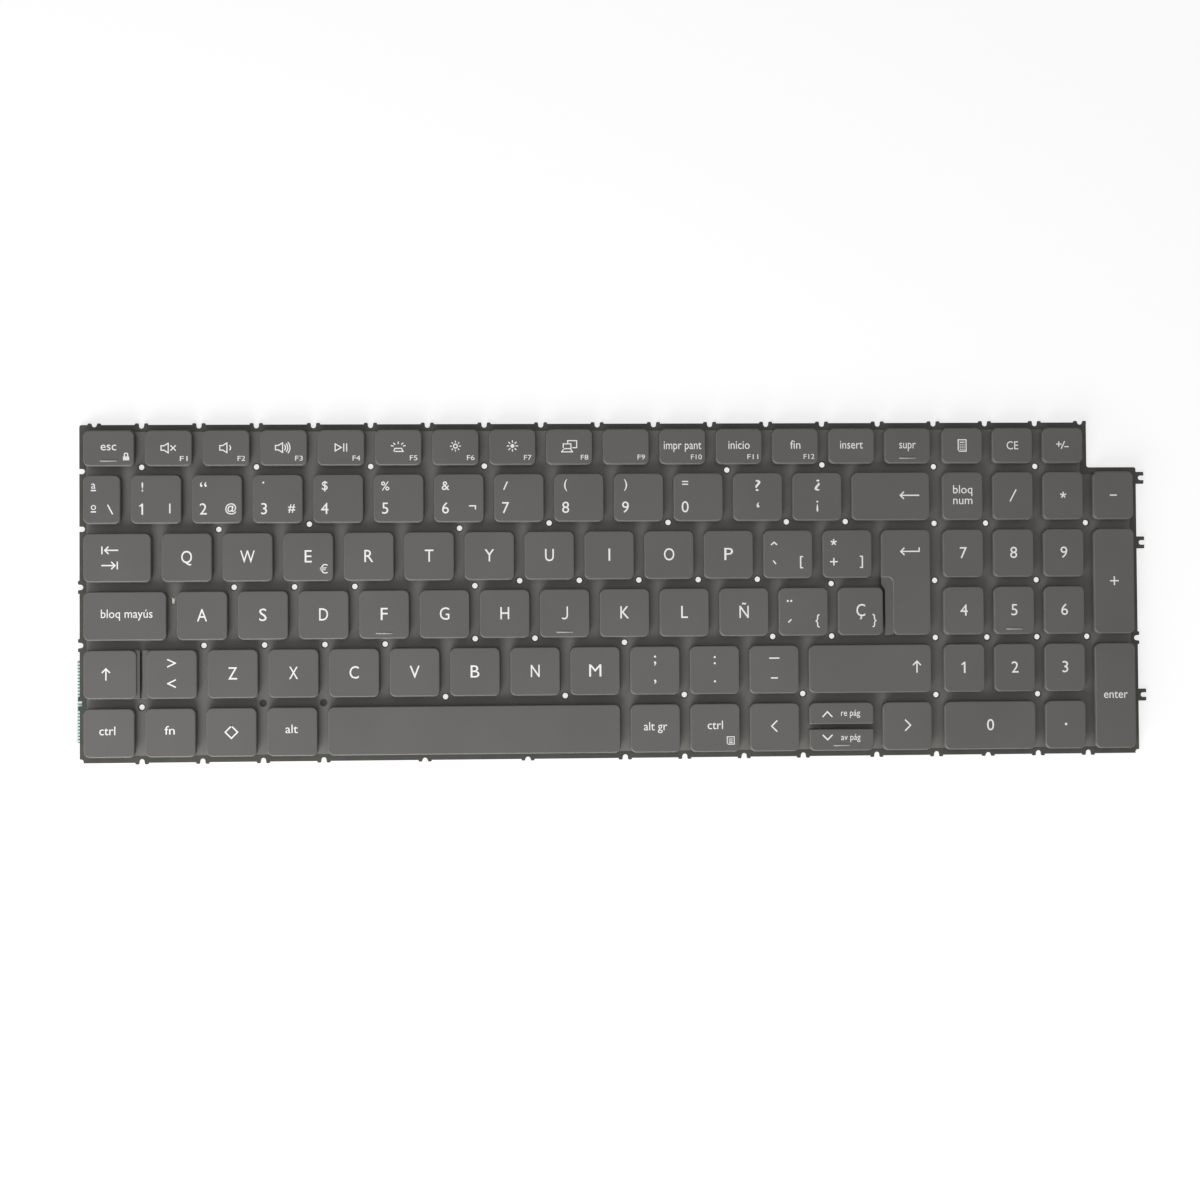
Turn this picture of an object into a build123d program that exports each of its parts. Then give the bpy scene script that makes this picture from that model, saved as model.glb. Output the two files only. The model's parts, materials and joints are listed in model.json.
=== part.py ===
"""A laptop keyboard with a number pad, lying on its back.

The sheets from the bottom up: backlight panel, steel base plate, switch membrane. On the
membrane stands one rubber dome under each keycap. X runs along the rows, Y towards the
function row, and Z up. Places are worked out from the plate's left front corner.
"""
import os

from build123d import *

# Key grid
UNIT = 18.70  # pitch of the typing keys along a row
ROW_PITCH = 18.05
KEY_GAP = 3.25  # between neighbouring tops along a row
KEY_DEPTH = 15.0
PAD_UNIT = 16.0  # pitch of the number pad
PAD_GAP = 3.2
FUNCTION_UNIT = 17.74
FUNCTION_GAP = 3.3
FUNCTION_DEPTH = 11.0
HALF_GAP = 1.56  # between the up and down arrows, which share one place
FUNCTION_ROW_GAP = 2.85  # between the number row and the function row
BLOCK_GAP = 4.1  # between the typing keys and the number pad
BOTTOM_SHIFT = 0.45  # the keys left of the space bar stand this far left of the row behind
ARROW_GAP = 3.0  # between the up and down arrows and the right arrow

# Keys that are wider or narrower than the grid
TAB_WIDTH, ESC_WIDTH = 20.7, 15.6
LAST_COLUMN_TRIM = 0.2  # the typing keys end this far inside the grid
LEFT_SHIFT_WIDTH, LEFT_SHIFT_LEDGE = 16.2, 0.95
LESS_THAN_LEDGE, STEPPED_GAP = 1.4, 0.75
ENTER_LOW_WIDTH, ENTER_LEDGE = 11.9, 2.45
ENTER_SLOPE_REAR, ENTER_SLOPE_FRONT = 2.4, 3.9  # in front of the tab row's front

# Plate edge to the nearest key, and beside the step at the function row's right end
MARGIN, REAR_MARGIN = 1.9, 2.05
STEP_SIDE, STEP_REAR = 2.1, 1.6

# Sheets, from the bottom up
PANEL = 0.45
PLATE = 0.40
MEMBRANE = 0.20
PANEL_INSET = 3.0
MEMBRANE_INSET = 2.2

# Keycaps
CAP_RISE = 1.40  # membrane to the open bottom of a cap at rest
CAP_HEIGHT = 1.50
CAP_TOP = 0.70
CAP_WALL = 0.70
CAP_TAPER = 7.0  # degrees
CORNER = 1.5
FLAT_START, FLAT_MEET = 0.732, 0.268  # shares of the corner's radius where its two flats start and meet
LEDGE_DROP = 0.60  # how far a stepped key's ledge lies below its top
LEDGE_LAP = 2.0  # how far a ledge runs in under the top
BAR_WIDTH, BAR_DEPTH, BAR_RISE = 5.2, 0.5, 0.15  # raised bars that a finger finds
BAR_IN = 1.6  # front of a key's top to the middle of its bar

# Stakes that hold the keyboard: holes in the plate, square windows in the softer sheets
STAKE_RADIUS = 0.85
MEMBRANE_WINDOW = 2.4
PANEL_WINDOW = 3.0
EAR_WIDTH, EAR_OUT = 1.2, 0.5
NOTCH_IN, SHALLOW_IN = 1.3, 0.7  # plate edge to the bottom of an edge notch
CORNER_NOTCH = 0.35  # from both edges to the middle of a front corner's notch
TAB_OUT, TAB_DEPTH, TAB_CUT = 2.5, 3.8, 0.5
TAB_SLOT_IN = 0.75  # plate edge to the bottom of a tab's slot
MIDDLE_TAB_IN, REAR_TAB_IN = 10.7, 3.4  # behind the tab row's front, in front of the plate's step
SHALLOW_LEFT, SHALLOW_RIGHT = 4.6, 2.0  # from the rear edge's two ends
SHALLOW_ALONG_SPACE = [29.75, 61.85]  # from the space bar's left end

# Rubber domes, as plain blocks
DOME_FOOT, SMALL_DOME_FOOT = 5.2, 4.0
DOME_TAPER = 22.0  # degrees

# Wire that keeps the space bar level
WIRE_RADIUS = 0.30
WIRE_SPAN, WIRE_ARM, WIRE_FOOT = 72.0, 6.0, 2.4
WIRE_BACK = 1.4  # the feet lie this far behind the middle of the space bar
WIRE_DROP = 0.60  # cap ceiling to the wire's middle
WIRE_LIFT = 0.32  # membrane to the middle of the wire's feet
LUG_WIDTH, LUG_STEEL, LUG_CLEAR = 1.6, 0.20, 0.05

# Ribbon tail and lock light
TAIL_DEPTH, TAIL_THICK = 25.4, 0.20
TAIL_OUT, TAIL_LENGTH = 1.2, 79.0
TAIL_FRONT = 6.3
TAIL_SLOT = 1.0
TAIL_WINDOW = 1.3  # where a stake passes through the tail
LIGHT_WIDTH, LIGHT_DEPTH, LIGHT_ROOM = 0.6, 1.6, 0.3
LIGHT_REACH = 12.1  # from the front of the letter row

# Levels
PLATE_TOP = PANEL + PLATE
FLOOR = PLATE_TOP + MEMBRANE
CAP_BOTTOM = FLOOR + CAP_RISE
CEILING = CAP_BOTTOM + CAP_HEIGHT - CAP_TOP

# Row fronts, counted from the space bar's row
ROW_FRONT = [MARGIN + row * ROW_PITCH for row in range(5)]
SPACE_ROW, SHIFT_ROW, LETTER_ROW, TAB_ROW, NUMBER_ROW = ROW_FRONT
FUNCTION_FRONT = NUMBER_ROW + KEY_DEPTH + FUNCTION_ROW_GAP
STEP_FRONT = NUMBER_ROW + KEY_DEPTH + STEP_REAR

# Row starts follow the usual half, quarter and half key of stagger
TAB_ROW_START = MARGIN + TAB_WIDTH + KEY_GAP
NUMBER_ROW_START = TAB_ROW_START - UNIT / 2
LETTER_ROW_START = TAB_ROW_START + UNIT / 4
SHIFT_ROW_START = LETTER_ROW_START + UNIT / 2
FUNCTION_START = MARGIN + ESC_WIDTH + FUNCTION_GAP
KEY_WIDTH = UNIT - KEY_GAP
PAD_WIDTH = PAD_UNIT - PAD_GAP
FUNCTION_WIDTH = FUNCTION_UNIT - FUNCTION_GAP
LONG_DEPTH = ROW_PITCH + KEY_DEPTH
HALF_DEPTH = (KEY_DEPTH - HALF_GAP) / 2

# Ends of the blocks and of the odd keys along their rows
MAIN_END = TAB_ROW_START + 13 * UNIT - KEY_GAP - LAST_COLUMN_TRIM
PAD_START = MAIN_END + BLOCK_GAP
LEFT_SHIFT_END = MARGIN + LEFT_SHIFT_WIDTH
LEFT_SHIFT_LEDGE_END = LEFT_SHIFT_END + LEFT_SHIFT_LEDGE
LESS_THAN_LEDGE_START = LEFT_SHIFT_LEDGE_END + STEPPED_GAP
LESS_THAN_START = LESS_THAN_LEDGE_START + LESS_THAN_LEDGE
BOTTOM_START = SHIFT_ROW_START - BOTTOM_SHIFT
SPACE_START = BOTTOM_START + 2 * UNIT
SPACE_END = SHIFT_ROW_START + 7 * UNIT - KEY_GAP
ENTER_LEFT = MAIN_END - KEY_WIDTH
ENTER_WAIST = MAIN_END - ENTER_LOW_WIDTH
ENTER_LEDGE_START = ENTER_WAIST - ENTER_LEDGE
ARROW_LEFT = SHIFT_ROW_START + 10 * UNIT
ARROW_WIDTH = ENTER_LEFT - ARROW_GAP - ARROW_LEFT

# The plate carries the keys
PLATE_WIDTH = PAD_START + 3 * PAD_UNIT + PAD_WIDTH + MARGIN
PLATE_DEPTH = FUNCTION_FRONT + FUNCTION_DEPTH + REAR_MARGIN
STEP_RIGHT = PAD_START + 2 * PAD_UNIT + PAD_WIDTH + STEP_SIDE

# The frame's origin is under the middle of the whole keyboard
MIDDLE = Pos(-(PLATE_WIDTH + TAB_OUT - TAIL_OUT) / 2, -PLATE_DEPTH / 2)


def pad_left(column):
    return PAD_START + column * PAD_UNIT


def row_of_keys(names, start, front, pitch=UNIT, width=KEY_WIDTH, depth=KEY_DEPTH):
    """Left edge, front edge, width and depth of each named key in an even row."""
    return {n: (start + i * pitch, front, width, depth) for i, n in enumerate(names)}


def key_between(left, right, front, depth=KEY_DEPTH):
    return (left, front, right - left, depth)


# Keys that move, each with its place
moving = {
    "tab": (MARGIN, TAB_ROW, TAB_WIDTH, KEY_DEPTH),
    **row_of_keys("qwertyuiop", TAB_ROW_START, TAB_ROW),
    **row_of_keys(["grave", "plus"], TAB_ROW_START + 10 * UNIT, TAB_ROW),
    "caps_lock": key_between(MARGIN, LETTER_ROW_START - KEY_GAP, LETTER_ROW),
    **row_of_keys("asdfghjkl", LETTER_ROW_START, LETTER_ROW),
    **row_of_keys(["n_tilde", "acute"], LETTER_ROW_START + 9 * UNIT, LETTER_ROW),
    "c_cedilla": key_between(LETTER_ROW_START + 11 * UNIT, ENTER_LEDGE_START - STEPPED_GAP, LETTER_ROW),
    "left_shift": (MARGIN, SHIFT_ROW, LEFT_SHIFT_WIDTH, KEY_DEPTH),
    "less_than": key_between(LESS_THAN_START, SHIFT_ROW_START - KEY_GAP, SHIFT_ROW),
    **row_of_keys("zxcvbnm", SHIFT_ROW_START, SHIFT_ROW),
    **row_of_keys(["comma", "period", "hyphen"], SHIFT_ROW_START + 7 * UNIT, SHIFT_ROW),
    "right_shift": key_between(SHIFT_ROW_START + 10 * UNIT, MAIN_END, SHIFT_ROW),
    "left_ctrl": key_between(MARGIN, BOTTOM_START - UNIT - KEY_GAP, SPACE_ROW),
    **row_of_keys(["fn", "system", "alt"], BOTTOM_START - UNIT, SPACE_ROW),
    "space": key_between(SPACE_START, SPACE_END, SPACE_ROW),
    **row_of_keys(["alt_gr", "right_ctrl", "left_arrow"], SHIFT_ROW_START + 7 * UNIT, SPACE_ROW),
    "right_arrow": (ENTER_LEFT, SPACE_ROW, KEY_WIDTH, KEY_DEPTH),
}
moving["down_arrow"] = (ARROW_LEFT, SPACE_ROW, ARROW_WIDTH, HALF_DEPTH)
moving["up_arrow"] = (ARROW_LEFT, SPACE_ROW + KEY_DEPTH - HALF_DEPTH, ARROW_WIDTH, HALF_DEPTH)
enter_place = (ENTER_LEFT, TAB_ROW, KEY_WIDTH, KEY_DEPTH)

# Keys past the file limit, kept as two banks that do not move
function_keys = {
    "esc": (MARGIN, FUNCTION_FRONT, ESC_WIDTH, FUNCTION_DEPTH),
    **row_of_keys([*(f"f{i}" for i in range(1, 13)), "insert", "delete"], FUNCTION_START, FUNCTION_FRONT,
                  FUNCTION_UNIT, FUNCTION_WIDTH, FUNCTION_DEPTH),
    **row_of_keys(["calculator", "clear", "sign"], PAD_START, FUNCTION_FRONT, PAD_UNIT, PAD_WIDTH,
                  FUNCTION_DEPTH),
}
number_keys = {
    "ordinal": key_between(MARGIN, NUMBER_ROW_START - KEY_GAP, NUMBER_ROW),
    **row_of_keys([*"1234567890", "apostrophe", "exclamation"], NUMBER_ROW_START, NUMBER_ROW),
    "backspace": key_between(NUMBER_ROW_START + 12 * UNIT, MAIN_END, NUMBER_ROW),
}
pad_keys = {
    **row_of_keys(["num_lock", "divide", "times", "minus"], PAD_START, NUMBER_ROW, PAD_UNIT, PAD_WIDTH),
    **row_of_keys("789", PAD_START, TAB_ROW, PAD_UNIT, PAD_WIDTH),
    **row_of_keys("456", PAD_START, LETTER_ROW, PAD_UNIT, PAD_WIDTH),
    **row_of_keys("123", PAD_START, SHIFT_ROW, PAD_UNIT, PAD_WIDTH),
    "plus": (pad_left(3), LETTER_ROW, PAD_WIDTH, LONG_DEPTH),
    "enter": (pad_left(3), SPACE_ROW, PAD_WIDTH, LONG_DEPTH),
    "zero": (pad_left(0), SPACE_ROW, PAD_UNIT + PAD_WIDTH, KEY_DEPTH),
    "point": (pad_left(2), SPACE_ROW, PAD_WIDTH, KEY_DEPTH),
}
barred = [moving["f"], moving["j"], moving["down_arrow"], function_keys["esc"], function_keys["delete"],
          pad_keys["5"]]


def centre(place):
    left, front, width, depth = place
    return left + width / 2, front + depth / 2


def tapered(outline, height=CAP_HEIGHT):
    """A cap's outside: the outline is the top's, and the walls spread towards the bottom."""
    top = Plane.XY.offset(CAP_BOTTOM + height) * outline
    return extrude(top, amount=height, dir=(0, 0, -1), taper=-CAP_TAPER)


def rounded(place, round_front=True, round_rear=True):
    """A key's outline, each corner turned by two flats that touch its true round, to keep caps light."""
    left, front, width, depth = place
    start, meet = CORNER * FLAT_START, CORNER * FLAT_MEET
    turn, square = [(0, start), (meet, meet), (start, 0)], [(0, 0)]
    low = turn if round_front else square
    high = turn if round_rear else square
    points = [*low, *((width - x, y) for x, y in reversed(low))]
    points += [*((width - x, depth - y) for x, y in high), *((x, depth - y) for x, y in reversed(high))]
    return Pos(left, front) * Polygon(*points, align=None)


def hollow(place):
    """The room inside a cap, as wide as its walls leave it."""
    room = Rectangle(place[2] - 2 * CAP_WALL, place[3] - 2 * CAP_WALL)
    return extrude(Pos(*centre(place), CAP_BOTTOM) * room, amount=CAP_HEIGHT - CAP_TOP)


def finger_bar(place):
    """The bar near the front of a key's top, rooted in the top's full thickness."""
    left, front, width, _ = place
    return extrude(Pos(left + width / 2, front + BAR_IN, CEILING) * Rectangle(BAR_WIDTH, BAR_DEPTH),
                   amount=CAP_TOP + BAR_RISE)


def keycap(place, round_front=True, round_rear=True):
    cap = tapered(rounded(place, round_front, round_rear)) - hollow(place)
    return cap + finger_bar(place) if place in barred else cap


def ledged_keycap(place, ledge_from, ledge_to):
    """A cap with a low square ledge beside its top, between two places along the row."""
    _, front, _, depth = place
    ledge = Pos((ledge_from + ledge_to) / 2, front + depth / 2) * Rectangle(ledge_to - ledge_from, depth)
    return tapered(rounded(place)) + tapered(ledge, CAP_HEIGHT - LEDGE_DROP) - hollow(place)


def enter_keycap():
    """The two-row enter key: an L-shaped top, with a ledge where its lower part is narrow."""
    low_place = key_between(ENTER_WAIST, MAIN_END, LETTER_ROW, LONG_DEPTH)
    top = rounded(enter_place) + rounded(low_place)
    inner, rear = ENTER_WAIST + LEDGE_LAP, TAB_ROW + LEDGE_LAP
    ledge = Polygon(
        (ENTER_LEFT, rear), (ENTER_LEFT, TAB_ROW - ENTER_SLOPE_REAR),
        (ENTER_LEDGE_START, TAB_ROW - ENTER_SLOPE_FRONT), (ENTER_LEDGE_START, LETTER_ROW),
        (inner, LETTER_ROW), (inner, rear), align=None,
    )
    solid = tapered(top) + tapered(ledge, CAP_HEIGHT - LEDGE_DROP)
    return solid - hollow(enter_place) - hollow(low_place)


def dome(place):
    """A dome from the membrane up to the cap's ceiling, smaller under a half key."""
    foot = SMALL_DOME_FOOT if place[3] == HALF_DEPTH else DOME_FOOT
    base = Pos(*centre(place), FLOOR) * Rectangle(foot, foot)
    return extrude(base, amount=CEILING - FLOOR, taper=DOME_TAPER)


# Gaps between neighbouring keys, where the stakes stand
def gap(start, number, pitch=UNIT, width=KEY_GAP):
    return start - width / 2 + number * pitch


def row_gap(rear_row):
    return rear_row - (ROW_PITCH - KEY_DEPTH) / 2


PAD_EDGE = (MAIN_END + PAD_START) / 2
pad_gaps = [PAD_EDGE] + [gap(PAD_START, i, PAD_UNIT, PAD_GAP) for i in (1, 2, 3)]

# Each stake stands near the row whose gap it shares: rear row, front row, or the pad's or tail's own place
REAR_SHIFT, FRONT_SHIFT, PAD_SHIFT, TAIL_SHIFT = 1.25, -0.25, 0.55, -1.2


def stakes(row_line, rear=(), front=(), pad=()):
    for places, shift in ((rear, REAR_SHIFT), (front, FRONT_SHIFT), (pad, PAD_SHIFT)):
        yield from ((x, row_line + shift) for x in places)


def gaps(start, *numbers):
    return [gap(start, n) for n in numbers]


function_gaps = [gap(FUNCTION_START, i, FUNCTION_UNIT, FUNCTION_GAP) for i in range(14)]
function_line = (FUNCTION_FRONT + NUMBER_ROW + KEY_DEPTH) / 2
two_pad_gaps = [pad_gaps[0], pad_gaps[2]]

# Stakes that a holder's bolts can use are round: two lines, and a rectangle in the number pad
bolt_places = [
    *stakes(function_line, [function_gaps[0], function_gaps[12]], pad=two_pad_gaps),
    *stakes(row_gap(TAB_ROW), pad=two_pad_gaps),
    *stakes(row_gap(SHIFT_ROW), gaps(SHIFT_ROW_START, 4, 10)),
]

# The others have six flats, to keep the plate light
plain_places = [
    *stakes(function_line, [function_gaps[i] for i in (2, 4, 6)], gaps(NUMBER_ROW_START, 10)),
    *stakes(row_gap(NUMBER_ROW), gaps(NUMBER_ROW_START, 3, 7, 9, 11, 12), gaps(TAB_ROW_START, 1, 5),
            [pad_gaps[0], pad_gaps[1], pad_gaps[3]]),
    *stakes(row_gap(TAB_ROW), gaps(TAB_ROW_START, 6, 7, 8, 9, 10), gaps(LETTER_ROW_START, 1, 2, 3, 5, 11)),
    *stakes(row_gap(LETTER_ROW), gaps(LETTER_ROW_START, 5, 6, 10, 11), gaps(SHIFT_ROW_START, 0, 1, 2, 3, 7),
            pad_gaps),
    *stakes(row_gap(SHIFT_ROW), gaps(SHIFT_ROW_START, 6, 8), gaps(BOTTOM_START, 1, 2), two_pad_gaps),
]
tail_stake = gap(BOTTOM_START, -1), row_gap(SHIFT_ROW) + TAIL_SHIFT
stake_places = [*bolt_places, *plain_places, tail_stake]
rear_notches = function_gaps + pad_gaps[:3]
front_notches = gaps(BOTTOM_START, -1, 0, 1, 2) + gaps(SHIFT_ROW_START, 7, 8, 9, 10)
front_notches += [ENTER_LEFT - ARROW_GAP / 2, PAD_EDGE, *pad_gaps[2:]]
left_notches = [row_gap(row) for row in ROW_FRONT[1:]] + [function_line]
right_notch = row_gap(LETTER_ROW)
shallow_front = [SPACE_START + along for along in SHALLOW_ALONG_SPACE] + [pad_gaps[1]]
shallow_rear = [SHALLOW_LEFT, STEP_RIGHT - SHALLOW_RIGHT]
right_tabs = [row_gap(SHIFT_ROW), TAB_ROW + MIDDLE_TAB_IN, STEP_FRONT - REAR_TAB_IN]


def l_outline(inset):
    """The plate's stepped outline, moved inwards."""
    low, right = inset, PLATE_WIDTH - inset
    step_right = STEP_RIGHT - inset
    return Polygon(
        (low, low), (right, low), (right, STEP_FRONT - inset), (step_right, STEP_FRONT - inset),
        (step_right, PLATE_DEPTH - inset), (low, PLATE_DEPTH - inset), align=None,
    )


def notch(depth_in):
    """An edge notch with its mouth towards minus Y, about its place on the edge."""
    return Pos(0, (depth_in - EAR_OUT) / 2) * Rectangle(2 * STAKE_RADIUS, depth_in + EAR_OUT)


def ears():
    """Two ears that stand out of the edge on both sides of a notch."""
    shift = STAKE_RADIUS + EAR_WIDTH / 2
    return [Pos(side * shift, 0) * Rectangle(EAR_WIDTH, 2 * EAR_OUT) for side in (-1, 1)]


def edge_places(along_front, along_rear, along_left=(), along_right=()):
    """Where edge features sit, each turned so that its mouth points outwards."""
    yield from (Pos(x, 0) for x in along_front)
    yield from (Pos(x, PLATE_DEPTH) * Rot(0, 0, 180) for x in along_rear)
    yield from (Pos(0, y) * Rot(0, 0, -90) for y in along_left)
    yield from (Pos(PLATE_WIDTH, y) * Rot(0, 0, 90) for y in along_right)


def right_tab(y):
    tab = Rectangle(2 * TAB_OUT, TAB_DEPTH)
    tab = chamfer(tab.vertices().sort_by(Axis.X)[2:], TAB_CUT)
    slot = Pos(TAB_SLOT_IN + TAB_OUT, 0) * Rectangle(2 * TAB_OUT, 2 * STAKE_RADIUS)
    return Pos(PLATE_WIDTH, y) * (tab - slot)


# The wire's hinge line is through its feet, and its rod lies in front of them under the cap
space_x, space_y = centre(moving["space"])
FEET_Y, FEET_Z = space_y + WIRE_BACK, FLOOR + WIRE_LIFT
ROD_Y, ROD_Z = FEET_Y - WIRE_ARM, CEILING - WIRE_DROP
LUG_X = WIRE_SPAN / 2 + WIRE_FOOT - LUG_WIDTH / 2
LUG_BACK = FEET_Y + WIRE_RADIUS + LUG_CLEAR
LUG_ROOF = FEET_Z + WIRE_RADIUS + LUG_CLEAR
LIGHT_X, LIGHT_Y = gap(LETTER_ROW_START, 0), LETTER_ROW + LIGHT_REACH


def wire_lug(side):
    """A hook bent up from the plate, which reaches over one foot of the space bar's wire."""
    front = FEET_Y - WIRE_RADIUS
    rear = LUG_BACK + LUG_STEEL
    hook = Polygon(
        (LUG_BACK, PANEL), (rear, PANEL), (rear, LUG_ROOF + LUG_STEEL), (front, LUG_ROOF + LUG_STEEL),
        (front, LUG_ROOF), (LUG_BACK, LUG_ROOF), align=None,
    )
    return Pos(space_x + side * LUG_X - LUG_WIDTH / 2) * extrude(Plane.YZ * hook, amount=LUG_WIDTH)


def base_plate():
    outline = l_outline(0)
    deep = list(edge_places(front_notches, rear_notches, left_notches, [right_notch]))
    outline += [place * ear for place in deep for ear in ears()]
    outline += [right_tab(y) for y in right_tabs]
    outline -= [place * notch(NOTCH_IN) for place in deep]
    outline -= [place * notch(SHALLOW_IN) for place in edge_places(shallow_front, shallow_rear)]
    corners = (CORNER_NOTCH, PLATE_WIDTH - CORNER_NOTCH)
    outline -= [Pos(x, CORNER_NOTCH) * RegularPolygon(STAKE_RADIUS, 6) for x in corners]
    outline -= [Pos(*place) * Circle(STAKE_RADIUS) for place in bolt_places]
    outline -= [Pos(*place) * RegularPolygon(STAKE_RADIUS, 6) for place in [*plain_places, tail_stake]]
    outline -= tail_slot() + light_slot()
    return extrude(Pos(0, 0, PANEL) * outline, amount=PLATE) + [wire_lug(side) for side in (-1, 1)]


def tail_slot():
    """Where the tail comes down through the plate, at its inner end."""
    return Pos(TAIL_LENGTH, TAIL_FRONT + TAIL_DEPTH / 2) * Rectangle(TAIL_SLOT, TAIL_DEPTH + TAIL_SLOT)


def light_slot():
    return Pos(LIGHT_X, LIGHT_Y) * Rectangle(LIGHT_WIDTH + 2 * LIGHT_ROOM, LIGHT_DEPTH + 2 * LIGHT_ROOM)


def membrane():
    outline = l_outline(MEMBRANE_INSET) - light_slot()
    outline -= [Pos(*place) * Rectangle(MEMBRANE_WINDOW, MEMBRANE_WINDOW) for place in stake_places]
    lug_window = Rectangle(LUG_WIDTH + 2 * LIGHT_ROOM, LUG_STEEL + 2 * LIGHT_ROOM)
    outline -= [Pos(space_x + s * LUG_X, LUG_BACK + LUG_STEEL / 2) * lug_window for s in (-1, 1)]
    return extrude(Pos(0, 0, PLATE_TOP) * outline, amount=MEMBRANE)


def backlight_panel():
    """The light guide, cut away at the left for the tail."""
    relief = Pos(0, TAIL_FRONT - TAIL_SLOT) * Rectangle(
        TAIL_LENGTH + 2 * TAIL_SLOT, TAIL_DEPTH + 2 * TAIL_SLOT, align=(Align.MIN, Align.MIN))
    outline = l_outline(PANEL_INSET) - relief
    outline -= [Pos(*place) * Rectangle(PANEL_WINDOW, PANEL_WINDOW) for place in stake_places]
    return extrude(outline, amount=PANEL)


def ribbon_tail():
    """A flat film under the plate that turns up through its slot to the membrane."""
    profile = Polygon(
        (-TAIL_OUT, PANEL - TAIL_THICK), (TAIL_LENGTH + TAIL_THICK, PANEL - TAIL_THICK),
        (TAIL_LENGTH + TAIL_THICK, PLATE_TOP), (TAIL_LENGTH, PLATE_TOP), (TAIL_LENGTH, PANEL),
        (-TAIL_OUT, PANEL), align=None,
    )
    film = Pos(0, TAIL_FRONT) * extrude(Plane.XZ * profile, amount=-TAIL_DEPTH)
    return film - extrude(Pos(*tail_stake) * RegularPolygon(TAIL_WINDOW, 6), amount=PANEL)


def caps_lock_light():
    bar = Pos(LIGHT_X, LIGHT_Y, PANEL) * Rectangle(LIGHT_WIDTH, LIGHT_DEPTH)
    return extrude(bar, amount=PLATE + MEMBRANE)


def space_stabilizer_wire():
    """Feet in the plate's lugs, arms forward, and a rod along the inside of the space bar."""
    half, reach = WIRE_SPAN / 2, WIRE_SPAN / 2 + WIRE_FOOT
    path = Pos(space_x) * Polyline(
        (-reach, FEET_Y, FEET_Z), (-half, FEET_Y, FEET_Z), (-half, ROD_Y, ROD_Z),
        (half, ROD_Y, ROD_Z), (half, FEET_Y, FEET_Z), (reach, FEET_Y, FEET_Z),
    )
    section = Plane(path @ 0, z_dir=path % 0) * Circle(WIRE_RADIUS)
    return sweep(section, path=path, transition=Transition.RIGHT)


nodes = {f"{name}_keycap": keycap(place) for name, place in moving.items()}
nodes["left_shift_keycap"] = ledged_keycap(
    moving["left_shift"], LEFT_SHIFT_END - LEDGE_LAP, LEFT_SHIFT_LEDGE_END)
nodes["less_than_keycap"] = ledged_keycap(
    moving["less_than"], LESS_THAN_LEDGE_START, LESS_THAN_START + LEDGE_LAP)
nodes["up_arrow_keycap"] = keycap(moving["up_arrow"], round_front=False)
nodes["down_arrow_keycap"] = keycap(moving["down_arrow"], round_rear=False)
nodes["enter_keycap"] = enter_keycap()
number_bank = [*number_keys.values(), *pad_keys.values()]
nodes["function_row_keycaps"] = Compound([keycap(place) for place in function_keys.values()])
nodes["number_keycaps"] = Compound([keycap(place) for place in number_bank])
every_place = [*moving.values(), enter_place, *function_keys.values(), *number_bank]
nodes["rubber_domes"] = Compound([dome(place) for place in every_place])
nodes["base_plate"] = base_plate()
nodes["membrane"] = membrane()
nodes["backlight_panel"] = backlight_panel()
nodes["ribbon_tail"] = ribbon_tail()
nodes["caps_lock_light"] = caps_lock_light()
nodes["space_stabilizer_wire"] = space_stabilizer_wire()

os.makedirs("parts", exist_ok=True)
for name, shape in nodes.items():
    export_step(MIDDLE * shape, f"parts/{name}.step")
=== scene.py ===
import json
import math

import bmesh
import bpy
from mathutils import Matrix, Vector


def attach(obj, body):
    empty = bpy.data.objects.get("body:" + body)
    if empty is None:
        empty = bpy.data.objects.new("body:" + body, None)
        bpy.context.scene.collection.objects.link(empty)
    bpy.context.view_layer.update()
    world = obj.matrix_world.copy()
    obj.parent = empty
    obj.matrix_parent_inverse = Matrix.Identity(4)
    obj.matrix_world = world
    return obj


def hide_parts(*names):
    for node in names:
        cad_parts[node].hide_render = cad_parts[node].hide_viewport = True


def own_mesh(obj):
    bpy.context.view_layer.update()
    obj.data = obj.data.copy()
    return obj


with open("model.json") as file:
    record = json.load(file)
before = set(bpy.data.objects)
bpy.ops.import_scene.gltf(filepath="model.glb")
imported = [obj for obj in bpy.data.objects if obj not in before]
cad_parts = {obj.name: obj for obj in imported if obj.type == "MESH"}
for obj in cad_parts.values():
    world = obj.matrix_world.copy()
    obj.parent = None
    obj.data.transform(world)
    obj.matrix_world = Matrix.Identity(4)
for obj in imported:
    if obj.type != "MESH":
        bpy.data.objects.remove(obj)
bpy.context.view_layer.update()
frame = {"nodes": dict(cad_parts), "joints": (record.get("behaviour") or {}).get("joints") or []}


# Backlight panel: a sandwich of clear light guide, white reflector and black mask under the plate.
# It is die cut with a window for each stake and a relief for the tail, and held by thin glue.
def finish(name, roughness, metallic=0.0):
    """A principled surface that reads the piece's own place, with its parts to wire up."""
    material = bpy.data.materials.new(name)
    material.use_nodes = True
    tree = material.node_tree
    shader = tree.nodes["Principled BSDF"]
    shader.inputs["Roughness"].default_value = roughness
    shader.inputs["Metallic"].default_value = metallic
    place = tree.nodes.new("ShaderNodeTexCoord").outputs["Object"]
    return material, tree, shader, place


def cloud(tree, place, per_metre, detail=3.0):
    """A soft noise, this many patches to the metre."""
    noise = tree.nodes.new("ShaderNodeTexNoise")
    noise.inputs["Scale"].default_value = per_metre
    noise.inputs["Detail"].default_value = detail
    tree.links.new(place, noise.inputs["Vector"])
    return noise.outputs["Fac"]


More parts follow.
